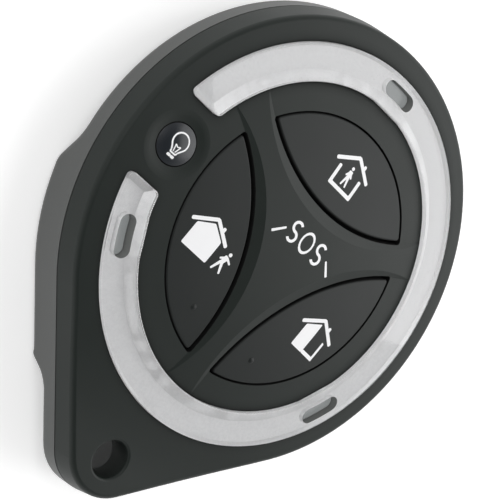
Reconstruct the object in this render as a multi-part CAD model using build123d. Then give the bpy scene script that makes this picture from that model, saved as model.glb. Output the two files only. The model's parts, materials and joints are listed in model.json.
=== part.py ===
from build123d import *
import math
import os

# Alarm key fob, in millimetres.
# It lies on its back: +Z points out of its front, +Y away from the keyring eye, +X to the right seen from the front.
# The origin is the centre of the round case, on the plane that the back rests on.

# Case outline and heights
case_radius = 24.9
eye_corner_radius = 6.0
side_angle = 45.0
parting_height = 5.2
parting_gap = 0.2
case_wall = 1.3
cut_overrun = 2.0
upright_share = 0.3

# Front cover
front_side_inset = 0.35
front_side_height = 2.95
front_roof = 1.3
crease_round = 0.6
crown_apex_height = 10.6
crown_radius = 122.0
crown_overhang = 2.1
crown_block_depth = 14.0
ear_start_inset = 4.9
ear_blend_radius = 55.0
ear_slope_angle = 1.0
ear_run = 12.0

# Raised web between the buttons
web_rise = 0.45
web_run_out = 0.67
web_half_width = 5.5
web_arc_reach = 22.6
web_slope_angle = 15.5
web_slope_run = 8.0
web_foot_overlap = 0.25
button_angles = (90.0, 210.0, 330.0)

# Light ring and its groove
rim_width = 2.9
ring_width = 3.97
ring_rise = 0.45
ring_side_depth = 0.85
ring_half_gap = 4.9
ring_flat_depth = 0.13
ring_clearance = 0.05
ring_end_round = 0.6
ring_edge_round = 0.15
inner_slope_run = 1.1
outer_slope_run = 0.45
end_slope_run = 0.8
ring_slope_angle = 36.0
reflector_thickness = 0.2
trough_wall = 0.9
trough_floor = 0.8

# Windows in the ring
window_inset = 2.17
window_width = 1.75
window_half_angle = 4.1
window_shift_angle = 1.0
window_depth = 1.1
window_clearance = 0.08
window_lip = 0.35
window_lip_thickness = 0.3

# Lens-shaped buttons
opening_band = 3.08
button_outer_gap = 0.2
button_inner_gap = 0.4
opening_tip_round = 0.35
button_edge_round = 0.2
button_cap = 1.2
button_skirt = 1.0
button_post_radius = 1.6
flange_reach = 0.8
flange_thickness = 0.6
flange_clearance = 0.12
pip_radius = 0.35
pip_height = 0.12
pip_drop = 0.225
pip_side_share = 0.46
pip_sides = {210.0: -1, 330.0: 1}

# Small round button
light_button_inset = 0.97
light_button_radius = 2.2
light_button_gap = 0.12
light_button_rise = 0.15
light_button_dome = 0.35
dish_radius = 3.6
dish_depth = 0.4
dish_edge_round = 3.0
light_flange_reach = 0.8
light_flange_thickness = 0.4
light_pocket_clearance = 0.25

# Keyring eye
eye_setback = 1.4714
eye_radius = 2.1
eye_boss_wall = 1.6
eye_rim_round = 0.3
eye_seam_bevel = 0.12

# Rear cover
rim_back_height = 2.05
rear_floor = 1.15
hump_arc_setback = 1.8
hump_arc_overreach = 6.2
hump_slope_run = 2.6
hump_slope_blend = 2.0
hump_tail_gap = 3.2
hump_tail_run = 1.15
hump_tail_blend = 0.9
hump_wall_shift = 0.5
hump_run_in = 3.0
rear_edge_round = 1.2
lip_height = 0.8
lip_inset = 0.6
lip_clearance = 0.08

# Circuit board
board_inset = 2.5
board_thickness = 0.8
board_height = 4.85
board_post_radius = 1.0
board_post_inset = 1.2
board_post_angles = (20.0, 160.0, 235.0, 305.0)
centre_post_radius = 1.5

# Case screws
screw_angles = (45.0, 135.0)
screw_inset = 4.2525
lower_screw_inset = 3.5
screw_shank_radius = 0.9
screw_head_radius = 1.7
screw_head_height = 0.9
screw_length = 3.8
screw_seat_height = 3.25
screw_hole_clearance = 0.1
screw_head_clearance = 0.15
screw_boss_wall = 0.9
screw_pillar_wall = 0.7
screw_pillar_seat = 0.8
screw_thread_clearance = 0.03
screw_tip_clearance = 0.1
screw_edge_round = 0.3
screw_slot_width = 0.4
screw_slot_length = 1.9
screw_slot_depth = 0.45
board_notch_clearance = 0.3

# Tactile switches
switch_size = 4.5
switch_base_height = 1.1
switch_floor = 0.2
switch_well_radius = 1.85
dome_radius = 1.7
dome_rise = 0.2
dome_sheet = 0.08
button_travel = 0.3
stem_over_dome = 0.36
stem_flange_radius = 1.6
stem_flange_thickness = 0.2
stem_radius = 1.05
stem_clearance = 0.1
plate_thickness = 0.15
plate_bore_clearance = 0.08
plate_tab_width = 1.6
plate_tab_drop = 0.7

# Coin cell and contacts
cell_y = -8.5
cell_radius = 10.0
cell_height = 3.2
cell_metal = 0.3
cell_seal_width = 0.4
cell_lid_rise = 0.2
cell_round = 0.4
cell_base_height = 1.4
cradle_clearance = 0.35
cradle_wall = 0.9
cradle_height = 1.6
clip_thickness = 0.2
clip_width = 6.0
clip_side_gap = 0.15
clip_foot = 1.4
clip_bend = 0.3
contact_length = 9.0
contact_width = 3.2

# Parts on the circuit board
led_size = (2.0, 1.25, 0.65)
controller_size = (7.0, 7.0, 1.0)
controller_place = (-6.5, 11.5)
radio_size = (5.0, 5.0, 0.9)
radio_place = (4.5, 13.0)
crystal_size = (3.2, 2.5, 0.7)
crystal_place = (10.5, 9.5)
chip_round = 0.15
passive_size = (1.6, 0.8, 0.5)
capacitor_places = ((0.0, 7.2), (2.6, 7.2), (5.2, 7.2), (-12.6, 8.0), (-12.6, 10.4))
resistor_places = ((-12.6, 5.6), (9.6, 13.2), (9.6, 15.4), (-1.2, 17.2))
antenna_wire_radius = 0.35
antenna_inset = 5.4
antenna_start_angle = -6.0
antenna_sweep_angle = 80.0
antenna_lift = 0.35


def polar_place(radius, angle):
    """Place at a radius and an angle round the middle of the case."""
    return (radius * math.cos(math.radians(angle)), radius * math.sin(math.radians(angle)))


# Worked-out places
side_angle_radians = math.radians(side_angle)
eye_corner_y = -(case_radius - eye_corner_radius) / math.sin(side_angle_radians)
eye_y = eye_corner_y - eye_setback
ring_outer_radius = case_radius - rim_width
ring_inner_radius = ring_outer_radius - ring_width
ring_flat_distance = ring_inner_radius - ring_flat_depth
window_radius = ring_inner_radius + window_inset
opening_outer_radius = ring_inner_radius - opening_band
light_button_x = -(ring_inner_radius + light_button_inset)
web_run_out_radius = ring_inner_radius + web_run_out
web_arc_centre = web_arc_reach + web_half_width
lens_middle = (web_half_width + opening_outer_radius) / 2
hump_arc_centre_y = -(case_radius + hump_arc_setback)
hump_arc_radius = case_radius + hump_arc_overreach
hump_tail_y = eye_y + hump_tail_gap
board_radius = case_radius - board_inset
front_edge_height = parting_height + parting_gap / 2
rear_edge_height = parting_height - parting_gap / 2
crown_centre_height = crown_apex_height - crown_radius
crown_half_width = case_radius + crown_overhang
ear_start_y = case_radius - ear_start_inset
top_height = crown_apex_height + web_rise
board_top_height = board_height + board_thickness
switch_plate_height = board_top_height + switch_base_height
plate_top_height = switch_plate_height + plate_thickness
stem_top_height = plate_top_height + button_travel + stem_clearance
cavity_inset = case_wall + front_side_inset
ring_window_angles = [angle + window_shift_angle for angle in button_angles]
eye_boss_radius = eye_radius + eye_boss_wall
light_opening_radius = light_button_radius + light_button_gap
light_flange_radius = light_button_radius + light_flange_reach
light_flange_base = plate_top_height + button_travel + flange_clearance
light_pocket_height = light_flange_base + light_flange_thickness + flange_clearance
screw_boss_radius = screw_shank_radius + screw_boss_wall
screw_counterbore_radius = screw_head_radius + screw_head_clearance
cell_top_height = cell_base_height + cell_height
board_post_places = [polar_place(board_radius - board_post_inset, angle) for angle in board_post_angles]
upper_screw_places = [polar_place(case_radius - screw_inset, angle) for angle in screw_angles]
screw_places = upper_screw_places + [(0, lower_screw_inset - case_radius)]
switch_places = [polar_place(lens_middle, angle) for angle in button_angles] + [(light_button_x, 0)]
switch_turns = list(button_angles) + [0]


def crown_height(distance):
    """Height of the crowned front at a distance from the middle."""
    return crown_centre_height + math.sqrt(crown_radius**2 - distance**2)


ring_base_height = crown_height(ring_outer_radius) + ring_rise - ring_side_depth
groove_floor_height = ring_base_height - reflector_thickness
trough_base_height = groove_floor_height - trough_floor


def case_outline(inset):
    """The round case with two straight sides that run to the rounded corner of the keyring eye."""
    round_side = CenterArc((0, 0), case_radius - inset, -side_angle, 180 + 2 * side_angle)
    corner = CenterArc((0, eye_corner_y), eye_corner_radius - inset, 180 + side_angle, 180 - 2 * side_angle)
    left = Line(round_side @ 1, corner @ 0)
    right = Line(corner @ 1, round_side @ 0)
    return make_face([round_side, left, corner, right])


def case_prism(inset, low, high):
    """The case outline, drawn in by an inset, as an upright block between two heights."""
    return Pos(0, 0, low) * extrude(case_outline(inset), high - low)


def disc(radius, low, high, x=0, y=0):
    """An upright cylinder between two heights."""
    return Pos(x, y, low) * extrude(Circle(radius), high - low)


def block(length, width, low, high, x=0, y=0, turn=0):
    """An upright box between two heights."""
    return Pos(x, y, low) * Rot(0, 0, turn) * extrude(Rectangle(length, width), high - low)


def ball(radius, x, y, height):
    """A ball, turned so that its poles and seam lie away from the front."""
    return Pos(x, y, height) * Rot(90, 0, 0) * Sphere(radius)


def ball_radius(width, rise):
    """Radius of the ball whose cap has this half width and this rise."""
    return (width**2 + rise**2) / (2 * rise)


def crown_section(centre_y, centre_height, tilt):
    """Cross-section of the crowned front: an arc over a deep block, tilted about the X axis."""
    edge_rise = math.sqrt(crown_radius**2 - crown_half_width**2)
    base_rise = crown_radius - crown_block_depth
    arc = ThreePointArc((-crown_half_width, edge_rise), (0, crown_radius), (crown_half_width, edge_rise))
    right = Line((crown_half_width, edge_rise), (crown_half_width, base_rise))
    base = Line((crown_half_width, base_rise), (-crown_half_width, base_rise))
    left = Line((-crown_half_width, base_rise), (-crown_half_width, edge_rise))
    upright = Plane.XZ * make_face([arc, right, base, left])
    return Pos(0, centre_y, centre_height) * Rot(tilt, 0, 0) * upright


def make_crown():
    """The crowned front face as a thick block: a dome that flattens out smoothly towards the keyring eye."""
    ear_angle = math.degrees(math.asin(ear_start_y / crown_radius))
    back_angle = math.degrees(math.asin(crown_half_width / crown_radius))
    start = crown_section(0, crown_centre_height, ear_angle)
    dome_axis = Axis((0, 0, crown_centre_height), (-1, 0, 0))
    dome = revolve(start, dome_axis, ear_angle + back_angle)
    arm = crown_radius + ear_blend_radius
    blend_y = -arm * math.sin(math.radians(ear_angle))
    blend_height = crown_centre_height + arm * math.cos(math.radians(ear_angle))
    blend = revolve(start, Axis((0, blend_y, blend_height), (-1, 0, 0)), ear_angle - ear_slope_angle)
    slope = math.radians(ear_slope_angle)
    end = crown_section(blend_y + arm * math.sin(slope), blend_height - arm * math.cos(slope), ear_slope_angle)
    flat = extrude(end, ear_run, dir=(0, -math.cos(slope), -math.sin(slope)))
    return dome + blend + flat


crown = make_crown()


def crown_block(drop):
    """Everything under the crowned front, lowered by a drop."""
    return Pos(0, 0, -drop) * crown


def make_front_blank():
    """Outside of the front cover: drafted side, crowned front and a soft crease where they meet."""
    full_height = top_height - front_edge_height
    low = Pos(0, 0, front_edge_height) * case_outline(0)
    high = Pos(0, 0, top_height) * case_outline(front_side_inset * full_height / front_side_height)
    blank = loft([low, high], ruled=True) & crown_block(0)
    front = blank.faces().filter_by(lambda face: face.normal_at().Z > upright_share)
    sides = blank.faces().filter_by(lambda face: abs(face.normal_at().Z) < upright_share)
    blank = fillet(front.edges() & sides.edges(), crease_round) - make_dish_tool()
    dish_rim = blank.edges().sort_by_distance(crown_normal_point(-light_button_x, 0))[0]
    return fillet(dish_rim, dish_edge_round)


def ring_outline(grow):
    """C-shaped outline of the light ring, with a short flat on its inner edge beside each window."""
    hole = Circle(ring_inner_radius - grow)
    beyond = Rectangle(ring_outer_radius, ring_outer_radius)
    for angle in ring_window_angles:
        hole -= Rot(0, 0, angle) * Pos(ring_flat_distance - grow + ring_outer_radius / 2, 0) * beyond
    gap = Pos(-ring_outer_radius, 0) * Rectangle(2 * ring_outer_radius, 2 * (ring_half_gap - grow))
    outline = Circle(ring_outer_radius + grow) - hole - gap
    ends = outline.vertices().filter_by(lambda corner: corner.X < 0 and abs(corner.Y) < ring_half_gap + ring_clearance)
    return fillet(ends, ring_end_round)


def ring_block(grow, low, high):
    """The ring's outline as an upright block between two heights."""
    return Pos(0, 0, low) * extrude(ring_outline(grow), high - low)


def slope_profile(side, run, low):
    """Profile of the cut that slopes a foot at this height up to a side, over a run towards the inside."""
    rise = abs(run) * math.tan(math.radians(ring_slope_angle))
    corners = [(side + 2 * run, low - rise), (side - run, low + 2 * rise), (side - run, low - rise)]
    return make_face(Polyline(corners, close=True))


def sloped_ring_block(grow, low, high):
    """The ring's upright block with a foot that slopes up to its sides and ends."""
    body = ring_block(grow, low, high)
    body -= revolve(Plane.XZ * slope_profile(ring_inner_radius, inner_slope_run, low), Axis.Z)
    body -= revolve(Plane.XZ * slope_profile(ring_outer_radius, -outer_slope_run, low), Axis.Z)
    end = extrude(Plane.YZ * slope_profile(ring_half_gap, end_slope_run, low), -case_radius)
    return body - end - mirror(end, Plane.XZ)


def window_slots(grow, low, high):
    """The three curved slots of the ring's windows as upright blocks."""
    slots = []
    for angle in ring_window_angles:
        arc = CenterArc((0, 0), window_radius, angle - window_half_angle, 2 * window_half_angle)
        slots.append(Pos(0, 0, low) * extrude(SlotArc(arc, window_width + 2 * grow), high - low))
    return slots


def lens_outline(outer, reach):
    """Outline shared by the lens-shaped buttons: a large arc towards the middle and the round outer arc."""
    outline = Circle(outer) & (Pos(0, web_arc_centre) * Circle(reach))
    return fillet(outline.vertices(), opening_tip_round)


def lens_block(outer, reach, low, high):
    """A lens outline as an upright block between two heights."""
    return Pos(0, 0, low) * extrude(lens_outline(outer, reach), high - low)


def turned(angle, shape):
    """Turn a shape that was drawn for the upper button to another button's place."""
    return Rot(0, 0, angle - button_angles[0]) * shape


def make_web_scoop():
    """Conical tool that gives the raised web its long slope down to the upper button."""
    tilt = math.asin(web_arc_centre / crown_radius)
    span = tilt - math.asin((web_arc_centre - web_arc_reach + web_foot_overlap) / crown_radius)
    base_radius = crown_radius * math.sin(span)
    base = crown_radius * math.cos(span)
    rise = web_slope_run * math.tan(math.radians(web_slope_angle) - span)
    far_radius = base_radius + web_slope_run
    top = crown_radius + web_slope_run
    profile = make_face(
        Polyline((0, base), (base_radius, base), (far_radius, base + rise), (far_radius, top), (0, top), close=True)
    )
    tool = revolve(Plane.XZ * profile, Axis.Z)
    return Pos(0, 0, crown_centre_height) * Rot(-math.degrees(tilt), 0, 0) * tool


def make_web():
    """Raised three-armed web, highest in the middle and running out where it meets the ring."""
    web_radius = ball_radius(web_run_out_radius, top_height - crown_height(web_run_out_radius))
    reach = ring_inner_radius + ring_edge_round
    web = ball(web_radius, 0, 0, top_height - web_radius) & disc(reach, parting_height, top_height + cut_overrun)
    web -= crown_block(front_roof / 2)
    scoop = make_web_scoop()
    for angle in button_angles:
        web -= turned(angle, scoop)
    return web


def crown_normal_point(distance, rise):
    """Point above the crown, straight out from it, on the side of the small round button."""
    lean = math.asin(distance / crown_radius)
    reach = crown_radius + rise
    return (-reach * math.sin(lean), 0, crown_centre_height + reach * math.cos(lean))


def make_dish_tool():
    """Ball that cuts the shallow dish round the small button."""
    radius = ball_radius(dish_radius, dish_depth)
    return ball(radius, *crown_normal_point(-light_button_x, radius - dish_depth))


def eye_edges(cover, low, high):
    """Edges of the keyring hole between two heights."""

    def on_eye(edge):
        box = edge.bounding_box()
        aside = math.hypot(box.center().X, box.center().Y - eye_y)
        return aside < eye_radius / 2 and box.size.X < eye_radius + eye_boss_radius and low <= box.center().Z <= high

    return cover.edges().filter_by(on_eye)


def finish_eye(cover, low, high, seam):
    """Round the outer rim of the keyring hole and bevel its edge at the seam of the two covers."""
    cover = fillet(eye_edges(cover, low, high), eye_rim_round)
    return chamfer(eye_edges(cover, seam - eye_seam_bevel / 2, seam + eye_seam_bevel / 2), eye_seam_bevel)


def make_front_cover():
    """Front half of the case with its openings, ring groove, raised web, bosses and posts."""
    cover = make_front_blank()
    cover -= case_prism(cavity_inset, parting_height - cut_overrun, top_height) & crown_block(front_roof)
    cover -= case_prism(
        lip_inset - lip_clearance, parting_height - cut_overrun, rear_edge_height + lip_height + lip_clearance
    )
    inside = ring_block(trough_wall, trough_base_height, top_height)
    inside += disc(case_radius - lip_inset, trough_base_height, top_height) - disc(
        ring_outer_radius, trough_base_height, top_height
    ) - block(2 * case_radius, 2 * (ring_half_gap - trough_wall), parting_height, top_height, x=-case_radius)
    for x, y in screw_places:
        inside += disc(screw_boss_radius, parting_height, top_height, x, y)
    for x, y in board_post_places:
        inside += disc(board_post_radius, board_top_height, top_height, x, y)
    inside += disc(centre_post_radius, board_top_height, top_height)
    inside += disc(eye_boss_radius, parting_height, top_height, 0, eye_y)
    cover += inside & crown_block(front_roof / 2)
    cover += make_web()
    cover -= sloped_ring_block(ring_clearance, groove_floor_height, top_height + cut_overrun)
    for slot in window_slots(0, parting_height, top_height):
        cover -= slot
    opening = lens_block(opening_outer_radius, web_arc_reach, parting_height, top_height + cut_overrun)
    for angle in button_angles:
        cover -= turned(angle, opening)
    cover -= disc(light_opening_radius, parting_height, top_height, light_button_x)
    cover -= disc(light_flange_radius + light_pocket_clearance, parting_height, light_pocket_height, light_button_x)
    for x, y in screw_places:
        cover -= disc(
            screw_shank_radius + screw_thread_clearance,
            parting_height - cut_overrun,
            screw_seat_height + screw_length + screw_tip_clearance,
            x,
            y,
        )
    cover -= disc(eye_radius, parting_height - cut_overrun, top_height, 0, eye_y)
    return finish_eye(cover, front_edge_height + eye_rim_round, top_height, parting_height)


def hump_profile(foot, run, shift, lift):
    """Sloped step from the battery hump to the thinner rim, with both corners blended."""
    start = foot - shift
    beyond = case_radius + hump_arc_radius
    corners = [
        (start - hump_run_in, lift),
        (start, lift),
        (start + run, rim_back_height + lift),
        (beyond, rim_back_height + lift),
        (beyond, -cut_overrun),
        (start - hump_run_in, -cut_overrun),
    ]
    return make_face(Polyline(corners, close=True))


def hump_step(foot, run, blend, shift, lift):
    """The hump's step profile with its two slope corners rounded."""
    profile = hump_profile(foot, run, shift, lift)
    middle = (foot - shift + run / 2, rim_back_height / 2 + lift)
    return fillet(profile.vertices().sort_by_distance(middle)[:2], blend)


def make_hump_tools(shift, lift):
    """Tools that cut the rim beside the hump: a round step above it and a straight one towards the eye."""
    upper = hump_step(hump_arc_radius - hump_slope_run / 2, hump_slope_run, hump_slope_blend, shift, lift)
    around = Pos(0, hump_arc_centre_y, 0) * (Plane.XZ * upper)
    tail = hump_step(-hump_tail_y - hump_tail_run / 2, hump_tail_run, hump_tail_blend, shift, lift)
    across = Rot(0, 0, -90) * (Plane.XZ * tail)
    return revolve(around, Axis((0, hump_arc_centre_y, 0), (0, 0, 1)), 180) + extrude(across, case_radius, both=True)


def make_rear_blank():
    """Outside of the rear cover: flat rim, battery hump and a rounded edge all round."""
    blank = case_prism(0, 0, rear_edge_height) - make_hump_tools(0, 0)
    back = blank.faces().filter_by(lambda face: face.normal_at().Z < -upright_share)
    sides = blank.faces().filter_by(lambda face: abs(face.normal_at().Z) < upright_share)
    return fillet(back.edges() & sides.edges(), rear_edge_round)


def make_rear_cover():
    """Rear half of the case with its lip, battery cradle, screw pillars, posts and keyring eye."""
    blank = make_rear_blank()
    cavity = case_prism(case_wall, rear_floor, top_height) - make_hump_tools(hump_wall_shift, rear_floor)
    cradle_radius = cell_radius + cradle_clearance
    inside = disc(cradle_radius + cradle_wall, 0, rear_floor + cradle_height, 0, cell_y)
    inside -= disc(cradle_radius, 0, top_height, 0, cell_y)
    inside -= block(4 * cradle_radius, clip_width + 2 * cradle_clearance, 0, top_height, 0, cell_y)
    for x, y in screw_places:
        inside += disc(screw_counterbore_radius + screw_pillar_wall, 0, screw_seat_height + screw_pillar_seat, x, y)
        inside += disc(screw_boss_radius, 0, parting_height, x, y)
    for x, y in board_post_places:
        inside += disc(board_post_radius, 0, board_height, x, y)
    inside += disc(eye_boss_radius, 0, parting_height, 0, eye_y)
    hollow = blank - cavity
    inside_limit = case_prism(lip_inset, 0, parting_height) - make_hump_tools(0, rear_floor / 2)
    cover = hollow + (inside & inside_limit)
    lip = case_prism(lip_inset, board_height, rear_edge_height + lip_height) - case_prism(case_wall, 0, top_height)
    cover += lip - disc(eye_boss_radius + lip_clearance, rear_edge_height, top_height, 0, eye_y)
    for x, y in screw_places:
        cover -= disc(screw_counterbore_radius, -cut_overrun, screw_seat_height, x, y)
        cover -= disc(screw_shank_radius + screw_hole_clearance, 0, top_height, x, y)
    cover -= disc(eye_radius, -cut_overrun, top_height, 0, eye_y)
    return finish_eye(cover, 0, board_height, parting_height)


def make_light_ring():
    """C-shaped light ring that stands a little proud of the crown, with rounded edges and three windows."""
    ring = sloped_ring_block(0, ring_base_height, top_height)
    ring &= ball(crown_radius, 0, 0, crown_centre_height + ring_rise)
    ring = fillet(ring.faces().sort_by(Axis.Z)[-1].edges(), ring_edge_round)
    for slot in window_slots(0, parting_height, top_height):
        ring -= slot
    return ring


def make_ring_reflector():
    """Thin reflecting tray under the light ring, with the same sloped foot and the same three windows."""
    strip = sloped_ring_block(0, groove_floor_height, ring_base_height + inner_slope_run)
    strip -= sloped_ring_block(ring_clearance, ring_base_height, top_height)
    for slot in window_slots(0, parting_height, top_height):
        strip -= slot
    return strip


def make_status_windows():
    """Three small lenses that fill the windows from below, each with a lip behind the cover."""
    top = crown_height(window_radius) + ring_rise - window_depth
    lenses = window_slots(-window_clearance, trough_base_height - window_lip_thickness, top)
    lips = window_slots(window_lip, trough_base_height - window_lip_thickness, trough_base_height)
    return [lens + lip for lens, lip in zip(lenses, lips)]


def make_lens_button(angle):
    """Lens-shaped button cap: crowned top, hollow inside, a lip under the cover and a post to its switch."""
    outer = opening_outer_radius - button_outer_gap
    reach = web_arc_reach - button_inner_gap
    under_drop = front_roof + flange_clearance
    foot_drop = under_drop + flange_thickness
    low = board_height
    button = lens_block(outer, reach, low, top_height) & crown_block(0)
    button = fillet(button.faces().sort_by(Axis.Z)[-1].edges(), button_edge_round)
    lip = lens_block(opening_outer_radius + flange_reach, web_arc_reach + flange_reach, low, top_height)
    button += lip & crown_block(under_drop)
    button -= crown_block(foot_drop)
    button -= lens_block(outer - button_skirt, reach - button_skirt, low, top_height) & crown_block(button_cap)
    post_top = crown_height(lens_middle) - button_cap / 2
    button += disc(button_post_radius, stem_top_height, post_top, 0, lens_middle)
    if angle in pip_sides:
        x = pip_sides[angle] * pip_side_share * opening_outer_radius
        y = lens_middle - pip_drop
        radius = ball_radius(pip_radius, pip_height)
        centre = crown_height(math.hypot(x, y)) + pip_height - radius
        button += ball(radius, x, y, centre) & disc(2 * pip_radius, centre, top_height, x, y)
    return turned(angle, button)


def make_light_button():
    """Small round button with a domed top and a lip under the cover."""
    button = disc(light_button_radius, light_flange_base, top_height, light_button_x)
    radius = ball_radius(light_button_radius, light_button_dome)
    button &= ball(radius, *crown_normal_point(-light_button_x, light_button_rise - radius))
    button += disc(light_flange_radius, light_flange_base, light_flange_base + light_flange_thickness, light_button_x)
    return button + disc(stem_radius, stem_top_height, light_flange_base, light_button_x)


def make_switch_base(x, y, turn):
    """Moulded base of a tactile switch with the round well that holds its snap dome."""
    base = block(switch_size, switch_size, board_top_height, switch_plate_height, x, y, turn)
    return base - disc(switch_well_radius, board_top_height + switch_floor, top_height, x, y)


def make_switch_dome(x, y):
    """Thin sprung snap dome on the floor of the switch."""
    floor = board_top_height + switch_floor
    inner = ball_radius(dome_radius, dome_rise)
    centre = floor + dome_rise - inner
    sheet = ball(inner + dome_sheet, x, y, centre) - ball(inner, x, y, centre)
    return sheet & disc(dome_radius, floor, top_height, x, y)


def make_switch_stem(x, y):
    """Moving stem of a switch: a flange held under the cover plate and the stem that the button presses."""
    low = board_top_height + switch_floor + dome_rise + dome_sheet + stem_over_dome
    flange = disc(stem_flange_radius, low, low + stem_flange_thickness, x, y)
    return flange + disc(stem_radius, low, stem_top_height, x, y)


def make_switch_plate(x, y, turn):
    """Sheet metal cover plate of a switch, with its bore and two tabs folded down the sides."""
    length = switch_size + 2 * plate_thickness
    plate = block(length, plate_tab_width, switch_plate_height - plate_tab_drop, plate_top_height, x, y, turn)
    plate -= block(switch_size, switch_size, board_height, switch_plate_height, x, y, turn)
    plate += block(switch_size, switch_size, switch_plate_height, plate_top_height, x, y, turn)
    return plate - disc(stem_radius + plate_bore_clearance, board_height, top_height, x, y)


def make_circuit_board():
    """Round board with notches for the screw bosses."""
    board = disc(board_radius, board_height, board_top_height)
    for x, y in screw_places:
        board -= disc(screw_boss_radius + board_notch_clearance, board_height, board_top_height, x, y)
    return board


def make_case_screw(x, y):
    """Self-tapping screw with a rounded head and a cross recess."""
    head = disc(screw_head_radius, screw_seat_height - screw_head_height, screw_seat_height, x, y)
    head = fillet(head.faces().sort_by(Axis.Z)[0].edges(), screw_edge_round)
    for length, width in ((screw_slot_length, screw_slot_width), (screw_slot_width, screw_slot_length)):
        head -= block(length, width, 0, screw_seat_height - screw_head_height + screw_slot_depth, x, y)
    shank = disc(screw_shank_radius, screw_seat_height, screw_seat_height + screw_length, x, y)
    return head + chamfer(shank.faces().sort_by(Axis.Z)[-1].edges(), screw_edge_round)


def make_cell_can():
    """Cup of the coin cell."""
    rim = cell_top_height - cell_lid_rise
    can = disc(cell_radius, cell_base_height, rim, 0, cell_y)
    can = fillet(can.faces().sort_by(Axis.Z)[0].edges(), cell_round)
    return can - disc(cell_radius - cell_metal, cell_base_height + cell_metal, rim, 0, cell_y)


def make_cell_seal():
    """Ring of sealing plastic between the cup and the lid of the coin cell."""
    outer = cell_radius - cell_metal
    low = cell_base_height + cell_metal
    high = cell_top_height - cell_lid_rise
    return disc(outer, low, high, 0, cell_y) - disc(outer - cell_seal_width, low, high, 0, cell_y)


def make_cell_lid():
    """Lid of the coin cell, a shallow cup upside down inside the seal."""
    outer = cell_radius - cell_metal - cell_seal_width
    low = cell_base_height + cell_metal * 2
    lid = disc(outer, low, cell_top_height, 0, cell_y)
    lid = fillet(lid.faces().sort_by(Axis.Z)[-1].edges(), cell_metal)
    return lid - disc(outer - cell_metal, low, cell_top_height - cell_metal, 0, cell_y)


def make_cell_electrodes():
    """Stack of electrodes that fills the coin cell."""
    radius = cell_radius - 2 * cell_metal - cell_seal_width
    return disc(radius, cell_base_height + cell_metal, cell_top_height - cell_metal, 0, cell_y)


def make_positive_clip():
    """Sprung metal strap under the cell, folded up on both sides to its feet on the board."""
    leg = cell_radius + clip_side_gap
    foot = leg + clip_thickness + clip_foot
    left = [(-foot, board_height), (-leg, board_height), (-leg, cell_base_height)]
    right = [(leg, cell_base_height), (leg, board_height), (foot, board_height)]
    line = Plane.XZ * FilletPolyline(*left, *right, radius=clip_bend)
    clip = make_brake_formed(clip_thickness, clip_width, line, Side.RIGHT)
    return Pos(0, cell_y - clip.bounding_box().center().Y, 0) * clip


def make_negative_contact():
    """Flat contact strip between the board and the lid of the cell."""
    return block(contact_width, contact_length, cell_top_height, board_height, 0, cell_y)


def make_chip(size, place, above):
    """A moulded chip on one side of the board."""
    length, width, height = size
    low = board_top_height if above else board_height - height
    chip = block(length, width, low, low + height, *place)
    return fillet(chip.edges().filter_by(Axis.Z), chip_round)


def make_status_leds():
    """Three light emitting diodes on the board, one under each window."""
    length, width, height = led_size
    leds = []
    for angle in ring_window_angles:
        x, y = polar_place(window_radius, angle)
        led = block(width, length, board_top_height, board_top_height + height, x, y, angle)
        leds.append(fillet(led.edges().filter_by(Axis.Z), chip_round))
    return leds


def make_antenna_wire():
    """Wire antenna that runs in an arc over the board, with a foot at each end."""
    height = board_top_height + antenna_lift + antenna_wire_radius
    arc = CenterArc((0, 0, height), board_radius - antenna_inset, antenna_start_angle, antenna_sweep_angle)
    start = arc @ 0
    wire = sweep(Plane(origin=start, z_dir=arc % 0) * Circle(antenna_wire_radius), arc)
    for end in (start, arc @ 1):
        wire += disc(antenna_wire_radius, board_top_height, height, end.X, end.Y)
        wire += Pos(end.X, end.Y, height) * Sphere(antenna_wire_radius)
    return wire


def save(name, *solids):
    """Write one sub-part, or a group of like ones, under its own name."""
    shape = solids[0] if len(solids) == 1 else Compound(children=list(solids))
    export_step(shape, f"parts/{name}.step")


os.makedirs("parts", exist_ok=True)
save("front_cover", make_front_cover())
save("rear_cover", make_rear_cover())
save("light_ring", make_light_ring())
save("ring_reflector", make_ring_reflector())
save("status_windows", *make_status_windows())
for name, angle in zip(("home_button", "away_button", "night_button"), button_angles):
    save(name, make_lens_button(angle))
save("light_button", make_light_button())
stem_names = ("home_switch_stem", "away_switch_stem", "night_switch_stem", "light_switch_stem")
for name, (x, y) in zip(stem_names, switch_places):
    save(name, make_switch_stem(x, y))
save("switch_bases", *[make_switch_base(x, y, turn) for (x, y), turn in zip(switch_places, switch_turns)])
save("switch_domes", *[make_switch_dome(x, y) for x, y in switch_places])
save("switch_cover_plates", *[make_switch_plate(x, y, turn) for (x, y), turn in zip(switch_places, switch_turns)])
save("circuit_board", make_circuit_board())
save("case_screws", *[make_case_screw(x, y) for x, y in screw_places])
save("cell_can", make_cell_can())
save("cell_seal", make_cell_seal())
save("cell_lid", make_cell_lid())
save("cell_electrodes", make_cell_electrodes())
save("positive_clip", make_positive_clip())
save("negative_contact", make_negative_contact())
save("status_leds", *make_status_leds())
save("controller_chip", make_chip(controller_size, controller_place, False))
save("radio_chip", make_chip(radio_size, radio_place, False))
save("crystal", make_chip(crystal_size, crystal_place, False))
save("capacitors", *[make_chip(passive_size, place, False) for place in capacitor_places])
save("resistors", *[make_chip(passive_size, place, False) for place in resistor_places])
save("antenna_wire", make_antenna_wire())
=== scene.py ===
# %% [markdown]
# An alarm key fob
#
# A small remote control in black plastic: a round crowned case with a keyring eye, three lens-shaped
# buttons, a little round button, and a silvery ring that lights up. The moulded pieces come from a CAD
# model at their real size, and they stay exactly where they are. This lesson gives them their finish,
# prints the white signs on them, and sets up the camera and the light.

# %% Load the fixed frame
import json
import math

import bmesh
import bpy
from mathutils import Matrix, Vector
from mathutils.bvhtree import BVHTree


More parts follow.
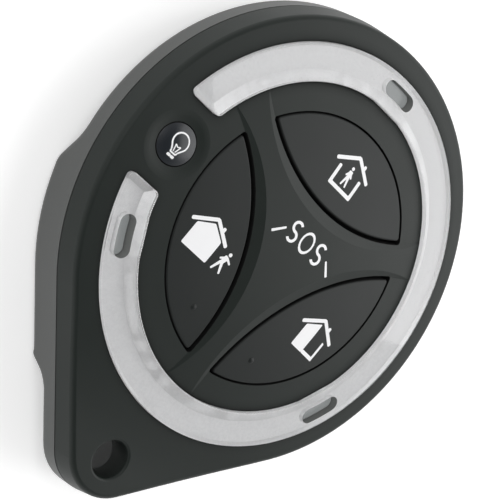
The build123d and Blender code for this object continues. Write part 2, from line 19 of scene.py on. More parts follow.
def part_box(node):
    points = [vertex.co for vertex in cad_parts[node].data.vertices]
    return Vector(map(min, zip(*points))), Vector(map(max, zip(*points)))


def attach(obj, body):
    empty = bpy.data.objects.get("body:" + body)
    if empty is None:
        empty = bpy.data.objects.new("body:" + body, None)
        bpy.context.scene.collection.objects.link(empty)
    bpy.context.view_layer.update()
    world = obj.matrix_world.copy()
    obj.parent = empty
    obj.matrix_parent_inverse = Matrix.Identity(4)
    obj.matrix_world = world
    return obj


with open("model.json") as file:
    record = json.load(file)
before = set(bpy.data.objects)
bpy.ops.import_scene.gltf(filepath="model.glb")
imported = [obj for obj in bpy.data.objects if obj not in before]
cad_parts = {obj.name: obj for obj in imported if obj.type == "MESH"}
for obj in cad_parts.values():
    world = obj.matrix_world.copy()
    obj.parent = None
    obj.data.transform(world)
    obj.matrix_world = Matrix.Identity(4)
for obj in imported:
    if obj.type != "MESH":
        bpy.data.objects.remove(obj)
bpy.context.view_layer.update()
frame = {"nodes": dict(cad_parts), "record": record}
mm = 0.001

# %% [markdown]
# The camera
#
# The photograph was taken from about a third of a metre away with a long lens, from the upper left of the
# fob and with the camera rolled. A camera is placed by a rotation matrix whose columns are its own right,
# up and back directions. Three Euler angles would do the same, but directions are easier to measure from
# a photograph.

# %% Place the camera
camera_place = Vector((-207.443, -45.631, 260.028)) * mm
camera_right = Vector((0.5605, 0.6095, 0.5607)).normalized()
camera_up = Vector((-0.5427, 0.7817, -0.3073))
image_width_pixels = 500
focal_length_pixels = 3169.4
sensor_width_mm = 36.0
nearest_view_mm = 10

camera_data = bpy.data.cameras.new("camera")
camera_data.sensor_width = sensor_width_mm
camera_data.lens = focal_length_pixels / image_width_pixels * sensor_width_mm
camera_data.clip_start = nearest_view_mm * mm
camera_back = camera_right.cross(camera_up).normalized()
camera_turn = Matrix((camera_right, camera_back.cross(camera_right), camera_back)).transposed()
camera = bpy.data.objects.new("camera", camera_data)
camera.matrix_world = Matrix.Translation(camera_place) @ camera_turn.to_4x4()
bpy.context.scene.collection.objects.link(camera)
bpy.context.scene.camera = camera
bpy.context.scene.view_settings.view_transform = "Standard"
print("The lens is", round(camera_data.lens, 1), "mm long")

# %% [markdown]
# A shared texture for moulded plastic
#
# An injection mould for a key fob is spark-eroded, so the plastic has a fine even grain, and its shine
# varies a little from place to place. Both effects are needed in many finishes, so they are a node group,
# built once. The group gives a height for the grain and a soft mottle. An image texture could show the
# same grain, but noise in object coordinates needs no unwrapping and keeps its real size on every piece.

# %% Build the grain group
usual_grain_scale = 5000.0
usual_mottle_scale = 220.0
grain_detail = 3.0
mottle_detail = 4.0
noise_roughness = 0.6


def add_socket(tree, name, direction, value=0.0):
    """A named number that goes into a node group or comes out of it."""
    socket = tree.interface.new_socket(name=name, in_out=direction, socket_type="NodeSocketFloat")
    socket.default_value = value


def link(tree, source, target):
    """Join an output socket to an input socket."""
    tree.links.new(source, target)


def build_grain_group():
    """Fine moulded grain and a slow mottle, both from noise in object coordinates."""
    tree = bpy.data.node_groups.new("moulded_grain", "ShaderNodeTree")
    add_socket(tree, "Grain Scale", "INPUT", usual_grain_scale)
    add_socket(tree, "Mottle Scale", "INPUT", usual_mottle_scale)
    add_socket(tree, "Height", "OUTPUT")
    add_socket(tree, "Mottle", "OUTPUT")
    inputs = tree.nodes.new("NodeGroupInput")
    outputs = tree.nodes.new("NodeGroupOutput")
    coordinates = tree.nodes.new("ShaderNodeTexCoord")
    noises = (("Grain Scale", grain_detail, "Height"), ("Mottle Scale", mottle_detail, "Mottle"))
    for scale_name, detail, output_name in noises:
        noise = tree.nodes.new("ShaderNodeTexNoise")
        noise.inputs["Detail"].default_value = detail
        noise.inputs["Roughness"].default_value = noise_roughness
        link(tree, coordinates.outputs["Object"], noise.inputs["Vector"])
        link(tree, inputs.outputs[scale_name], noise.inputs["Scale"])
        link(tree, noise.outputs["Fac"], outputs.inputs[output_name])
    return tree


grain_group = build_grain_group()
print("Group", grain_group.name, "has", len(grain_group.nodes), "nodes")

# %% [markdown]
# Most pieces are one plain material with that grain, so one function dresses them all: a colour that
# drifts a little, a roughness that drifts with it, and a bump. Numbers that stay the same all over
# a piece, such as Metallic, go straight into the shader's own sockets.

# %% Dress a shader in the grain
roughness_drift = 0.1


def shade(colour, factor):
    """The same colour, lighter or darker, with full opacity."""
    return tuple(min(1.0, part * factor) for part in colour) + (1.0,)


def dress_shader(
    tree, shader, colour, roughness, grain_size=0.2, grain_depth=0.002, drift=0.08, fixed=(),
    mottle_size=4.5,
):
    """Give a shader its grain: sizes in millimetres, and fixed values for some of its own sockets."""
    for socket, value in dict(fixed).items():
        shader.inputs[socket].default_value = value
    grain = tree.nodes.new("ShaderNodeGroup")
    grain.node_tree = grain_group
    grain.inputs["Grain Scale"].default_value = 1 / (grain_size * mm)
    grain.inputs["Mottle Scale"].default_value = 1 / (mottle_size * mm)
    colours = tree.nodes.new("ShaderNodeMix")
    colours.data_type = "RGBA"
    colours.inputs["A"].default_value = shade(colour, 1 - drift)
    colours.inputs["B"].default_value = shade(colour, 1 + drift)
    link(tree, grain.outputs["Mottle"], colours.inputs["Factor"])
    link(tree, colours.outputs["Result"], shader.inputs["Base Color"])
    roughs = tree.nodes.new("ShaderNodeMapRange")
    roughs.inputs["To Min"].default_value = roughness * (1 - roughness_drift)
    roughs.inputs["To Max"].default_value = roughness * (1 + roughness_drift)
    link(tree, grain.outputs["Mottle"], roughs.inputs["Value"])
    link(tree, roughs.outputs["Result"], shader.inputs["Roughness"])
    bump = tree.nodes.new("ShaderNodeBump")
    bump.inputs["Distance"].default_value = grain_depth * mm
    link(tree, grain.outputs["Height"], bump.inputs["Height"])
    link(tree, bump.outputs["Normal"], shader.inputs["Normal"])


print("A roughness drifts by", roughness_drift, "of itself")

# %% [markdown]
# The black plastics
#
# The case is matt, the buttons are a little smoother, and the small round button is the shiniest. Their
# specular level is lower than usual, because the coarse skin of a moulded black scatters what it reflects.

# %% Mix the black plastics
def make_finish(name, *looks, **more):
    """A material with one grained shader."""
    material = bpy.data.materials.new(name)
    material.use_nodes = True
    dress_shader(material.node_tree, material.node_tree.nodes["Principled BSDF"], *looks, **more)
    return material


soft_plastic = {"Specular IOR Level": 0.27}
case_looks = ((0.0092, 0.0132, 0.0112), 0.46, 0.16, 0.004)
button_looks = ((0.0080, 0.0106, 0.0098), 0.42, 0.14, 0.003)
finishes = {
    "case_black": make_finish("case_black", *case_looks, fixed=soft_plastic),
    "button_black": make_finish("button_black", *button_looks, fixed=soft_plastic),
    "light_button_black": make_finish("light_button_black", (0.013, 0.016, 0.020), 0.25, 0.3, 0.001),
}
rear_black = make_finish("rear_black", (0.080, 0.083, 0.081), 0.45, 0.16, 0.004, fixed=soft_plastic)
print(len(finishes) + 1, "black plastics")

# %% [markdown]
# Painted shade in the corners
#
# The front and the buttons get darker in their corners, gaps and hollows. This is painted shade: the dark
# that light leaves in such places is put into their colour, and the plastic is also made dull there. The
# Ambient Occlusion node finds such places: it tells how much of the view from a point is blocked by
# something near it. Three materials need the same mask, so it is a group too.

# %% Build the corner group
corner_samples = 16
darkest_openness = 0.55


def build_corner_shade_group():
    """Mask that is one on an open surface and falls to zero in a crevice."""
    tree = bpy.data.node_groups.new("painted_corner_shade", "ShaderNodeTree")
    add_socket(tree, "Reach", "INPUT", 1 * mm)
    add_socket(tree, "Unshaded", "OUTPUT")
    inputs = tree.nodes.new("NodeGroupInput")
    outputs = tree.nodes.new("NodeGroupOutput")
    openness = tree.nodes.new("ShaderNodeAmbientOcclusion")
    openness.samples = corner_samples
    fade = tree.nodes.new("ShaderNodeMapRange")
    fade.inputs["From Min"].default_value = darkest_openness
    fade.inputs["From Max"].default_value = 1.0
    link(tree, inputs.outputs["Reach"], openness.inputs["Distance"])
    link(tree, openness.outputs["AO"], fade.inputs["Value"])
    link(tree, fade.outputs["Result"], outputs.inputs["Unshaded"])
    return tree


corner_shade_group = build_corner_shade_group()
print("Group", corner_shade_group.name, "looks round each point", corner_samples, "times")

# %% Paint shade into the corners of the black plastic
corner_reach = 1.3
# Colour and roughness of the painted shade in corners, gaps and hollows
painted_shade_colour = (0.002, 0.002, 0.002, 1)
painted_shade_roughness = 1.0


def paint_corner_shade(material):
    """Fade a material to a dark painted shade, and make it dull, where something close by blocks the view.
    """
    tree = material.node_tree
    shader = tree.nodes["Principled BSDF"]
    corner = tree.nodes.new("ShaderNodeGroup")
    corner.node_tree = corner_shade_group
    corner.inputs["Reach"].default_value = corner_reach * mm
    colours = tree.nodes.new("ShaderNodeMix")
    colours.data_type = "RGBA"
    colours.inputs["A"].default_value = painted_shade_colour
    roughs = tree.nodes.new("ShaderNodeMix")
    roughs.inputs["A"].default_value = painted_shade_roughness
    for mix, socket in ((colours, "Base Color"), (roughs, "Roughness")):
        link(tree, shader.inputs[socket].links[0].from_socket, mix.inputs["B"])
        link(tree, corner.outputs["Unshaded"], mix.inputs["Factor"])
        link(tree, mix.outputs["Result"], shader.inputs[socket])


# Every black plastic gets painted shade in its corners
for black in finishes.values():
    paint_corner_shade(black)
print("Group", corner_shade_group.name, "is used by", corner_shade_group.users, "materials")

# %% [markdown]
# The finishes of the small pieces
#
# The same function mixes the rest: the grey lenses of the windows, the white ink, and everything that
# only shows when the case is open. Steel and brass have Metallic set to one, so that their colour tints
# what they reflect.

# %% Mix the finishes of the small pieces
metal = {"Metallic": 1.0}
finishes.update({
    "window_grey": make_finish("window_grey", (0.25, 0.265, 0.265), 0.25, 0.3, 0.001),
    "sign_white": make_finish("sign_white", (0.92, 0.92, 0.93), 0.5, 0.1, 0.001, 0.03),
    "board_green": make_finish("board_green", (0.03, 0.16, 0.07), 0.35),
    "switch_black": make_finish("switch_black", (0.03, 0.03, 0.03), 0.5),
    "stem_red": make_finish("stem_red", (0.45, 0.06, 0.04), 0.45),
    "sprung_steel": make_finish("sprung_steel", (0.62, 0.61, 0.58), 0.25, fixed=metal),
    "screw_steel": make_finish("screw_steel", (0.06, 0.06, 0.062), 0.35, fixed=metal),
    "cell_steel": make_finish("cell_steel", (0.68, 0.68, 0.67), 0.3, fixed=metal),
    "seal_grey": make_finish("seal_grey", (0.3, 0.3, 0.3), 0.5),
    "electrode_black": make_finish("electrode_black", (0.05, 0.05, 0.05), 0.8),
    "diode_white": make_finish("diode_white", (0.85, 0.85, 0.8), 0.3),
    "chip_black": make_finish("chip_black", (0.035, 0.035, 0.04), 0.55),
    "crystal_can": make_finish("crystal_can", (0.7, 0.69, 0.65), 0.25, fixed=metal),
    "passive_tan": make_finish("passive_tan", (0.55, 0.42, 0.28), 0.5),
    "antenna_brass": make_finish("antenna_brass", (0.75, 0.55, 0.3), 0.3, fixed=metal),
})
print(len(finishes), "finishes so far")

# %% [markdown]
# The silvery ring
#
# The light ring is a bar of clear plastic with silver paint on its sloping underside, which is what makes
# its edges look like two-tone bevels. A thin tray below it has the same paint. The paint has a fine
# speckle, so its mottle is much smaller than that of the plastics, and it is only partly a metal, because
# its flakes scatter some of the light.

# %% Mix the clear plastic and the silver paint
silver_paint = {
    "colour": (0.985, 0.985, 0.995), "roughness": 0.38, "grain_size": 0.10, "grain_depth": 0.012,
    "drift": 0.16, "fixed": {"Metallic": 0.65}, "mottle_size": 0.3,
}
clear_plastic = {
    "colour": (0.97, 0.975, 0.98), "roughness": 0.03, "grain_size": 0.3, "grain_depth": 0.001,
    "drift": 0.02, "fixed": {"Transmission Weight": 1.0, "IOR": 1.49},
}
finishes["reflector_white"] = make_finish("reflector_white", **silver_paint)
finishes["ring_pearl"] = make_finish("ring_pearl", **clear_plastic)
print(len(finishes), "finishes in all")

# %% [markdown]
# One material does both the clear bar and its painted underside. It tells the underside by the direction
# that the surface faces. Seen from inside the bar that direction is turned round, so Backfacing puts its
# sign right. Two objects would do as well, but their touching faces would flicker.

# %% Find the underside of the ring
def math_node(tree, operation, first, second, third=None):
    """A Math node; each input is a socket to join or a fixed number."""
    node = tree.nodes.new("ShaderNodeMath")
    node.operation = operation
    for socket, value in zip(node.inputs, (first, second, third)):
        if isinstance(value, bpy.types.NodeSocket):
            link(tree, value, socket)
        elif value is not None:
            socket.default_value = value
    return node.outputs["Value"]


upright_limit = 0.2
ring_tree = finishes["ring_pearl"].node_tree
surface = ring_tree.nodes.new("ShaderNodeNewGeometry")
facing = ring_tree.nodes.new("ShaderNodeSeparateXYZ")
link(ring_tree, surface.outputs["True Normal"], facing.inputs["Vector"])
side = math_node(ring_tree, "MULTIPLY_ADD", surface.outputs["Backfacing"], -2.0, 1.0)
outward = math_node(ring_tree, "MULTIPLY", facing.outputs["Z"], side)
underside = math_node(ring_tree, "LESS_THAN", outward, -upright_limit)
print("The underside leans", round(math.degrees(math.acos(upright_limit))), "degrees or less")

# %% Paint the underside of the ring
def mix_shaders(tree, factor, first, second):
    """Blend two shaders by a factor."""
    node = tree.nodes.new("ShaderNodeMixShader")
    link(tree, factor, node.inputs["Fac"])
    link(tree, first, node.inputs[1])
    link(tree, second, node.inputs[2])
    return node.outputs["Shader"]


paint = ring_tree.nodes.new("ShaderNodeBsdfPrincipled").outputs["BSDF"]
dress_shader(ring_tree, paint.node, **silver_paint)
clear = ring_tree.nodes["Principled BSDF"].outputs["BSDF"]
painted_ring = mix_shaders(ring_tree, underside, clear, paint)
print("The ring mixes", clear.node.name, "and", paint.node.name)

# %% [markdown]
# The upright walls of the three windows are painted as well: grey in the slot and silver on the clear
# side. They are the upright faces in a narrow band round the ring, away from its two ends, so the mask is
# made from the distance to the middle of the fob.

# %% Find the walls of the windows
window_circle_radius = 20.2
window_band_half_width = 1.3
ring_ends_half_height = 6.0

place = ring_tree.nodes.new("ShaderNodeSeparateXYZ")
link(ring_tree, ring_tree.nodes.new("ShaderNodeTexCoord").outputs["Object"], place.inputs["Vector"])
y_squared = math_node(ring_tree, "MULTIPLY", place.outputs["Y"], place.outputs["Y"])
squares = math_node(ring_tree, "MULTIPLY_ADD", place.outputs["X"], place.outputs["X"], y_squared)
distance = math_node(ring_tree, "SQRT", squares, None)
in_band = math_node(
    ring_tree, "COMPARE", distance, window_circle_radius * mm, window_band_half_width * mm,
)
height = math_node(ring_tree, "ABSOLUTE", place.outputs["Y"], None)
off_ends = math_node(ring_tree, "GREATER_THAN", height, ring_ends_half_height * mm)
upright = math_node(ring_tree, "COMPARE", outward, 0.0, upright_limit)
near_window = math_node(ring_tree, "MULTIPLY", in_band, off_ends)
window_wall = math_node(ring_tree, "MULTIPLY", near_window, upright)
print("The walls lie within", window_band_half_width, "mm of the circle", window_circle_radius)

# %% Paint the walls of the windows
sleeve_grey = (0.15, 0.155, 0.15)
sleeve_roughness = 0.4

sleeve = ring_tree.nodes.new("ShaderNodeBsdfPrincipled").outputs["BSDF"]
dress_shader(ring_tree, sleeve.node, sleeve_grey, sleeve_roughness)
wall = mix_shaders(ring_tree, surface.outputs["Backfacing"], sleeve, paint)
painted_ring = mix_shaders(ring_tree, window_wall, painted_ring, wall)
print("The walls mix", sleeve.node.name, "and", paint.node.name)

# %% [markdown]
# Light from a lamp can't find its way through a clear solid that bends it, so the light that should reach
# the paint would be lost as shadow. Shadow rays and diffuse light therefore simply pass through the ring,
# and through the tray that touches it, because light that starts on one of two touching faces would
# otherwise stop at the other.

# %% Let the light through to the paint
passed_light = (0.97, 0.97, 0.97, 1)


def let_light_through(tree, shader):
    """Let shadow rays and diffuse light pass straight through a material."""
    ray = tree.nodes.new("ShaderNodeLightPath")
    passing = math_node(tree, "MAXIMUM", ray.outputs["Is Shadow Ray"], ray.outputs["Is Diffuse Ray"])
    see_through = tree.nodes.new("ShaderNodeBsdfTransparent")
    see_through.inputs["Color"].default_value = passed_light
    surface_shader = mix_shaders(tree, passing, shader, see_through.outputs["BSDF"])
    link(tree, surface_shader, tree.nodes["Material Output"].inputs["Surface"])


tray_tree = finishes["reflector_white"].node_tree
let_light_through(ring_tree, painted_ring)
let_light_through(tray_tree, tray_tree.nodes["Principled BSDF"].outputs["BSDF"])
print("The ring has", len(ring_tree.nodes), "nodes and the tray", len(tray_tree.nodes))

# %% [markdown]
# Dressing the pieces
#
# Each piece has a slot that names its finish. The two halves of the case share one slot, but they are
# moulded separately, and the rear one gets a greyer black of its own.

# %% Put each finish on the nodes of its slot
for subpart in frame["record"]["subparts"]:
    node = subpart["node"]
    mesh = frame["nodes"][node].data
    mesh.materials.clear()
    mesh.materials.append(rear_black if node == "rear_cover" else finishes[subpart["material_slot"]])

# %% [markdown]
# The printed signs
#
# The signs are a layer of white ink. Each one is drawn flat from a few simple shapes, then cut into small
# squares so that it can bend, dropped onto the piece it is printed on, and given a thickness of some
# hundredths of a millimetre. A decal image would be quicker, but real geometry stays sharp at any
# distance. The shapes come from bmesh operators: panels with rounded corners, bars, dots and arcs.

# %% Panels and bars
layer_step = 0.0015
corner_segments = 3
end_rounding_share = 0.4


def next_layer(bm):
    """Height of the next stroke: a hair above the last, so that crossing strokes never coincide."""
    return max((vert.co.z for vert in bm.verts), default=0) + layer_step * mm


def panel(bm, corners, rounding):
    """A flat panel with these corners, each rounded a little."""
    height = next_layer(bm)
    verts = [bm.verts.new((x * mm, y * mm, height)) for x, y in corners]
    bm.faces.new(verts)
    bmesh.ops.bevel(
        bm, geom=verts, offset=rounding * mm, offset_type="OFFSET", segments=corner_segments,
        profile=0.5, affect="VERTICES", material=-1, clamp_overlap=True,
    )


def bar(bm, start, end, width, end_width=None):
    """A straight stroke with rounded ends, which may taper."""
    start, end = Vector(start), Vector(end)
    end_width = end_width or width
    across = (end - start).normalized().orthogonal()
    near = across * width / 2
    far = across * end_width / 2
    rounding = min(width, end_width) * end_rounding_share
    panel(bm, (start + near, start - near, end - far, end + far), rounding)


print("Strokes lie", layer_step, "mm above each other")

# %% Dots and arcs
arc_steps = 20


def dot(bm, centre, radius):
    """A filled round spot."""
    place = Matrix.Translation((centre[0] * mm, centre[1] * mm, next_layer(bm)))
    bmesh.ops.create_circle(bm, cap_ends=True, radius=radius * mm, segments=arc_steps, matrix=place)


def arc(bm, centre, radius, start_angle, sweep_angle, width):
    """A curved stroke: a short edge across the stroke, spun round the centre."""
    heading = math.radians(start_angle)
    across = Vector((math.cos(heading), math.sin(heading), 0))
    middle = Vector((centre[0] * mm, centre[1] * mm, next_layer(bm)))
    radii = (radius - width / 2, radius + width / 2)
    ends = [bm.verts.new(middle + across * end_radius * mm) for end_radius in radii]
    edge = bm.edges.new(ends)
    bmesh.ops.spin(
        bm, geom=ends + [edge], cent=middle, axis=(0, 0, 1), angle=math.radians(sweep_angle),
        steps=arc_steps, use_merge=abs(sweep_angle) == 360, use_duplicate=False,
    )


print("An arc has", arc_steps, "steps")

# %% [markdown]
# A sign has to follow the crowned surface it is printed on. A Shrinkwrap modifier could press it on, but
# the same is done here with one downward ray for each point, so the printed ink stands evenly over the
# plastic. Before that the sign is cut along a grid, because a flat face can only bend where it has an edge.

# %% Cut a flat sign so that it can bend
bend_step = 0.5


def slice_to_bend(bm):
    """Cut a flat sign along a grid, so that no part of it is longer than a step."""
    for axis in (0, 1):
        low = min(vert.co[axis] for vert in bm.verts)
        high = max(vert.co[axis] for vert in bm.verts)
        normal = Vector((axis == 0, axis == 1, 0))
        for count in range(1, math.ceil((high - low) / (bend_step * mm))):
            place = normal * (low + count * bend_step * mm)
            everything = bm.verts[:] + bm.edges[:] + bm.faces[:]
            bmesh.ops.bisect_plane(bm, geom=everything, plane_co=place, plane_no=normal)


print("A sign is cut every", bend_step, "mm")

# %% Press a flat sign onto a surface
ink_lift = 0.012
ink_thickness = 0.03


def press_and_thicken(bm, node):
    """Lay a flat sign on a node's top surface and give it the ink's thickness."""
    tree = BVHTree.FromObject(frame["nodes"][node], bpy.context.evaluated_depsgraph_get())
    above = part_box(node)[1].z + mm
    for vert in bm.verts:
        hit = tree.ray_cast(Vector((vert.co.x, vert.co.y, above)), Vector((0, 0, -1)))[0]
        vert.co.z += hit.z + ink_lift * mm
    for face in bm.faces:
        face.normal_update()
        if face.normal.z < 0:
            face.normal_flip()
    base = bmesh.ops.extrude_face_region(bm, geom=bm.faces[:], use_keep_orig=True)
    lowered = [item for item in base["geom"] if isinstance(item, bmesh.types.BMVert)]
    bmesh.ops.translate(bm, verts=lowered, vec=(0, 0, -ink_thickness * mm))
    bmesh.ops.recalc_face_normals(bm, faces=bm.faces)


print("The ink is", ink_thickness, "mm thick")

# %% Make a sign an object of its own
def print_sign(name, bm, node, body):
    """Print a flat sign on a node and let it ride on the node's body."""
    slice_to_bend(bm)
    press_and_thicken(bm, node)
    mesh = bpy.data.meshes.new(name)
    bm.to_mesh(mesh)
    bm.free()
    mesh.materials.append(finishes["sign_white"])
    sign = bpy.data.objects.new(name, mesh)
    bpy.context.scene.collection.objects.link(sign)
    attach(sign, body)
    print(name, "has", len(mesh.polygons), "faces")


print("The signs wear", finishes["sign_white"].name)

# %% [markdown]
# The house signs
#
# Three buttons show a house: one with a figure inside, one with a figure leaving, and one that is half
# filled for the night. The roof is the same on all three, so a function draws it at each place: two
# sloping strokes that meet at the ridge, and a small chimney.

# %% The roof of a house
roof_half_width = 2.78
roof_rise = 1.66
roof_stroke = 0.42
ridge_overlap = 0.09
chimney_share = 0.46
chimney_height = 0.6
chimney_width = 0.4
house_half_width = 1.95
house_height = 2.75
eaves_drop = 0.15
eaves_height = house_height - eaves_drop


def draw_roof(bm, x, base):
    """Two sloping strokes that meet at the ridge, with a small chimney on the right one."""
    eaves = base + eaves_height
    ridge = eaves + roof_rise
    for side in (-1, 1):
        top = (x - side * ridge_overlap, ridge + ridge_overlap * roof_rise / roof_half_width)
        bar(bm, (x + side * roof_half_width, eaves), top, roof_stroke)
    chimney = x + roof_half_width * chimney_share
    foot = ridge - roof_rise * chimney_share
    bar(bm, (chimney, foot), (chimney, foot + chimney_height), chimney_width)


print("A roof is", 2 * roof_half_width, "mm wide and the ridge", eaves_height + roof_rise, "mm high")

# %% The walls of a house
wall_stroke = 0.42
wall_drop = 0.35
house_gap = 0.22
ridge_drop = 0.08
corner_round = 0.16


def draw_walls(bm, x, base):
    """Outline of the house under the roof: two walls and a floor in one stroke."""
    outer, inner = house_half_width, house_half_width - wall_stroke
    top, floor_top = base + house_height - wall_drop, base + wall_stroke
    corners = (
        (x - outer, top), (x - outer, base), (x + outer, base), (x + outer, top),
        (x + inner, top), (x + inner, floor_top), (x - inner, floor_top), (x - inner, top),
    )
    panel(bm, corners, corner_round)


def draw_filled_house(bm, x, base, right):
    """Filled house under the roof, from its left wall to the middle or to the right wall."""
    left = x - house_half_width
    peak = base + eaves_height + roof_rise - roof_stroke / 2 - house_gap
    shoulder = peak - roof_rise * house_half_width / roof_half_width
    left_half = [(x, peak - ridge_drop), (left, shoulder), (left, base)]
    right_half = [(x + right, base), (x + right, shoulder)] if right else [(x, base)]
    panel(bm, left_half + right_half, corner_round)


print("A house is", 2 * house_half_width, "mm wide")

# %% [markdown]
# The small figure is a dot for the head and tapered strokes for trunk, arms and legs. The joints are
# shares of the figure's height, so one table serves a standing and a walking one. The first two numbers
# of a joint are its place across and up, and the last two say how far it moves when the figure leans.

# %% A small figure
joint_shares = {
    "head": (0, 0.92, 0.5, 0),
    "neck": (0, 0.80, 0.35, 0),
    "shoulder": (0, 0.75, 0.35, 0),
    "hip": (0, 0.45, 0, 0),
    "left_hand": (-0.20, 0.48, 0, 0.26),
    "right_hand": (0.20, 0.48, 0.70, 0.38),
    "left_hip": (-0.03, 0.50, 0, 0),
    "right_hip": (0.03, 0.50, 0, 0),
    "left_foot": (-0.16, 0, -0.3, 0),
    "right_foot": (0.16, 0, 0.3, 0.1),
}
limb_shares = (
    ("neck", "hip", 0.26, 0.20),
    ("left_hip", "left_foot", 0.14, 0.09),
    ("right_hip", "right_foot", 0.14, 0.09),
    ("shoulder", "left_hand", 0.12, 0.08),
    ("shoulder", "right_hand", 0.12, 0.08),
)
head_share = 0.085


def draw_figure(bm, x, base, tall, lean=0.0):
    """A standing figure, or a walking one that leans forward by some millimetres."""
    joints = {
        name: (x + across * tall + lean_across * lean, base + up * tall + lean_up * lean)
        for name, (across, up, lean_across, lean_up) in joint_shares.items()
    }
    dot(bm, joints["head"], head_share * tall)
    for start, end, width, end_width in limb_shares:
        bar(bm, joints[start], joints[end], width * tall, end_width * tall)


print("A figure has", len(joint_shares), "joints and", len(limb_shares), "limbs")

# %% [markdown]
# Each sign is now a few calls. Home is a house with a figure standing inside, away is a filled house with
# a figure walking off, and night is a house whose left half is filled.

# %% Print the home sign
home_x, home_base = 0.17, 8.12
home_figure_rise = 0.73
home_figure_height = 2.35

home_bm = bmesh.new()
draw_roof(home_bm, home_x, home_base)
draw_walls(home_bm, home_x, home_base)
draw_figure(home_bm, home_x, home_base + home_figure_rise, home_figure_height)
print_sign("home_sign", home_bm, "home_button", "home_key")

# %% Print the away sign
away_x, away_base = -9.75, -6.95
away_figure_x = away_x + 3.47
away_figure_rise = 0.05
away_figure_height = 2.55
away_figure_lean = 0.75

away_bm = bmesh.new()
draw_roof(away_bm, away_x, away_base)
draw_filled_house(away_bm, away_x, away_base, house_half_width)
draw_figure(
    away_bm, away_figure_x, away_base + away_figure_rise, away_figure_height, lean=away_figure_lean,
)
print_sign("away_sign", away_bm, "away_button", "away_key")

# %% Print the night sign
night_x, night_base = 9.9, -6.8
night_wall = 0.3

night_bm = bmesh.new()
draw_roof(night_bm, night_x, night_base)
draw_filled_house(night_bm, night_x, night_base, 0)
night_outer = night_x + house_half_width
night_inner = night_outer - night_wall
night_top = night_base + house_height - wall_drop
night_floor_top = night_base + wall_stroke
night_corners = (
    (night_x, night_base), (night_outer, night_base), (night_outer, night_top - night_wall / 3),
    (night_inner, night_top), (night_inner, night_floor_top), (night_x, night_floor_top),
)
panel(night_bm, night_corners, corner_round / 2)
print_sign("night_sign", night_bm, "night_button", "night_key")

# %% [markdown]
# The letters between the buttons
#
# Pressing two buttons together calls for help, and the web between them says so with the usual three
# letters and a tick on each side. A font would bring its own look, so the letters are plain strokes: an S
# is two arcs, an O is a hoop, and each is squeezed or stretched a little sideways.

# %% Add a letter to the word
letter_height = 2.52
letter_stroke = 0.31
letter_base = 0.52


def add_letter(target, letter, x, stretch):
    """Stretch a letter about its own upright middle line and add it to the word."""
    from_middle = Matrix.Translation((-x * mm, 0, 0))
    bmesh.ops.scale(letter, verts=letter.verts[:], vec=(stretch, 1, 1), space=from_middle)
    mesh = bpy.data.meshes.new("letter")
    letter.to_mesh(mesh)
    letter.free()
    target.from_mesh(mesh)
    bpy.data.meshes.remove(mesh)


print("The letters are", letter_height, "mm high")

# %% Draw the letters
s_stretch = 1.06
o_stretch = 0.78
s_opening_angle = 40
s_sweep_angle = 230
join_gap = 0.001


def draw_s(target, x):
    """Letter S: an upper arc that opens to the right and a lower arc that opens to the left."""
    letter = bmesh.new()
    radius = (letter_height - letter_stroke) / 4
    low = letter_base + letter_stroke / 2 + radius
    arc(letter, (x, low + 2 * radius), radius, s_opening_angle, s_sweep_angle, letter_stroke)
    arc(letter, (x, low), radius, 90, -s_sweep_angle, letter_stroke)
    add_letter(target, letter, x, s_stretch)


def draw_o(target, x):
    """Letter O: a hoop."""
    letter = bmesh.new()
    radius = (letter_height - letter_stroke) / 2
    arc(letter, (x, letter_base + letter_height / 2), radius, 0, 360, letter_stroke)
    bmesh.ops.remove_doubles(letter, verts=letter.verts, dist=join_gap * mm)
    add_letter(target, letter, x, o_stretch)


print("An S opens at", s_opening_angle, "degrees")

# %% Print the call sign
word_middle = 0.58
letter_pitch = 2.2
tick_widths = (0.3, 0.24)
ticks = (((-4.2, 0.2), (-2.85, 1.5)), ((5.55, 0.62), (4.2, 1.85)))

call_bm = bmesh.new()
draw_s(call_bm, word_middle - letter_pitch)
draw_o(call_bm, word_middle)
draw_s(call_bm, word_middle + letter_pitch)
for tick_start, tick_end in ticks:
    bar(call_bm, tick_start, tick_end, *tick_widths)
print_sign("call_sign", call_bm, "front_cover", "case")

# %% [markdown]
# The bulb sign
#
# The little round button switches a lamp, so it shows a light bulb: a globe that narrows to a neck,
# a filament and a cap. The globe is an arc that stays open below. The rest is symmetric, so a table of
# strokes, in millimetres from the middle of the globe, is drawn once to the left and once to the right.

# %% Print the bulb sign
bulb_x, bulb_y = -18.92, 0.42
globe_radius = 0.97
globe_start_angle = -42
globe_sweep_angle = 180 - 2 * globe_start_angle
bulb_stroke = 0.17
filament_stroke = 0.12
cap_stroke = 0.3
globe_end = (0.74 * globe_radius, -0.66 * globe_radius)
bulb_neck = (0.42, -1.10)
filament_top = (0.34, -0.42)
bulb_strokes = (
    (globe_end, bulb_neck, bulb_stroke),
    (bulb_neck, (0.38, -1.36), bulb_stroke),
    ((0.12, -1.20), filament_top, filament_stroke),
    (filament_top, (0, -0.62), filament_stroke),
    ((0, -1.36), (0.42, -1.36), bulb_stroke),
    ((0, -1.72), (0.48, -1.72), cap_stroke),
)

bulb_bm = bmesh.new()
arc(bulb_bm, (bulb_x, bulb_y), globe_radius, globe_start_angle, globe_sweep_angle, bulb_stroke)
for side in (-1, 1):
    for start, end, width in bulb_strokes:
        start_place = (bulb_x + side * start[0], bulb_y + start[1])
        end_place = (bulb_x + side * end[0], bulb_y + end[1])
        bar(bulb_bm, start_place, end_place, width)
print_sign("bulb_sign", bulb_bm, "light_button", "light_key")

# %% [markdown]
# The floor
#
# The fob lies on its back on a pale table. The background of the photograph is pure white, so the table
# glows a little by itself: with the light of the lamps it comes out just white, and the fob still casts
# its soft shadow. The table is a hair below the fob, so that the two flat faces never coincide.

# %% Lay the floor
floor_half_size = 1.5
floor_drop = 0.02

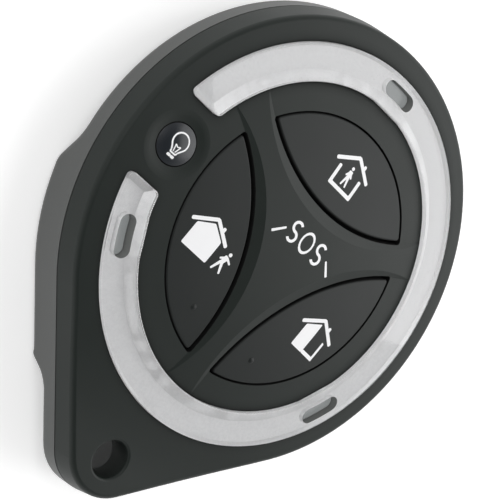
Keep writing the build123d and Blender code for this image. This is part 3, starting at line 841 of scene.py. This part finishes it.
floor_bm = bmesh.new()
floor_place = Matrix.Translation((0, 0, -floor_drop * mm))
bmesh.ops.create_grid(floor_bm, x_segments=1, y_segments=1, size=floor_half_size, matrix=floor_place)
floor_mesh = bpy.data.meshes.new("floor")
floor_bm.to_mesh(floor_mesh)
floor_bm.free()
floor = bpy.data.objects.new("floor", floor_mesh)
bpy.context.scene.collection.objects.link(floor)
print("The floor is", 2 * floor_half_size, "m wide")

# %% Paint the floor
white = (1, 1, 1, 1)
floor_colour = (0.9, 0.9, 0.9, 1)
floor_roughness = 0.9
floor_glow = 0.38

floor_material = bpy.data.materials.new("floor_white")
floor_material.use_nodes = True
floor_shader = floor_material.node_tree.nodes["Principled BSDF"]
floor_shader.inputs["Base Color"].default_value = floor_colour
floor_shader.inputs["Roughness"].default_value = floor_roughness
floor_shader.inputs["Emission Color"].default_value = white
floor_shader.inputs["Emission Strength"].default_value = floor_glow
floor_mesh.materials.append(floor_material)
print("The floor glows with a strength of", floor_glow)

# %% [markdown]
# The room
#
# A light tent is white at the sides and open at the top. The world imitates it with a strength that falls
# from the horizon to the zenith: the upright sides of the fob get their light, and the flat top keeps its
# deep black. The camera itself sees plain white, which Light Path tells apart.

# %% Make the room
room_zenith = 0.06
room_horizon = 1.4
seen_strength = 1.0

world = bpy.data.worlds.new("room")
world.use_nodes = True
bpy.context.scene.world = world
world_tree = world.node_tree
background = world_tree.nodes["Background"]
background.inputs["Color"].default_value = white
room_direction = world_tree.nodes.new("ShaderNodeTexCoord")
room_height = world_tree.nodes.new("ShaderNodeSeparateXYZ")
room_glow = world_tree.nodes.new("ShaderNodeMapRange")
room_glow.inputs["To Min"].default_value = room_horizon
room_glow.inputs["To Max"].default_value = room_zenith
room_strength = world_tree.nodes.new("ShaderNodeMix")
room_strength.inputs["B"].default_value = seen_strength
camera_ray = world_tree.nodes.new("ShaderNodeLightPath").outputs["Is Camera Ray"]
link(world_tree, room_direction.outputs["Generated"], room_height.inputs["Vector"])
link(world_tree, room_height.outputs["Z"], room_glow.inputs["Value"])
link(world_tree, room_glow.outputs["Result"], room_strength.inputs["A"])
link(world_tree, camera_ray, room_strength.inputs["Factor"])
link(world_tree, room_strength.outputs["Result"], background.inputs["Strength"])
print("The room's strength goes from", room_horizon, "to", room_zenith)

# %% [markdown]
# The lamps
#
# The highlights of the ring and the rounded edges come from two soft square lamps: a large one on the
# right behind the fob, and a smaller one on the left. Their places were chosen so that the light falls as
# it does in the photograph.

# %% Place the lamps
def add_lamp(name, place, size, power):
    """A soft square lamp that points at the middle of the fob."""
    data = bpy.data.lights.new(name, "AREA")
    data.shape = "SQUARE"
    data.size = size
    data.energy = power
    lamp = bpy.data.objects.new(name, data)
    lamp.location = place
    lamp.rotation_euler = Vector(place).to_track_quat("Z", "Y").to_euler()
    bpy.context.scene.collection.objects.link(lamp)
    print(name, "is", round(Vector(place).length, 2), "m away")


add_lamp("right_lamp", (0.58, 0.44, 0.66), size=0.9, power=5.3)
add_lamp("left_lamp", (-0.55, 0.1, 0.8), size=0.5, power=2.1)
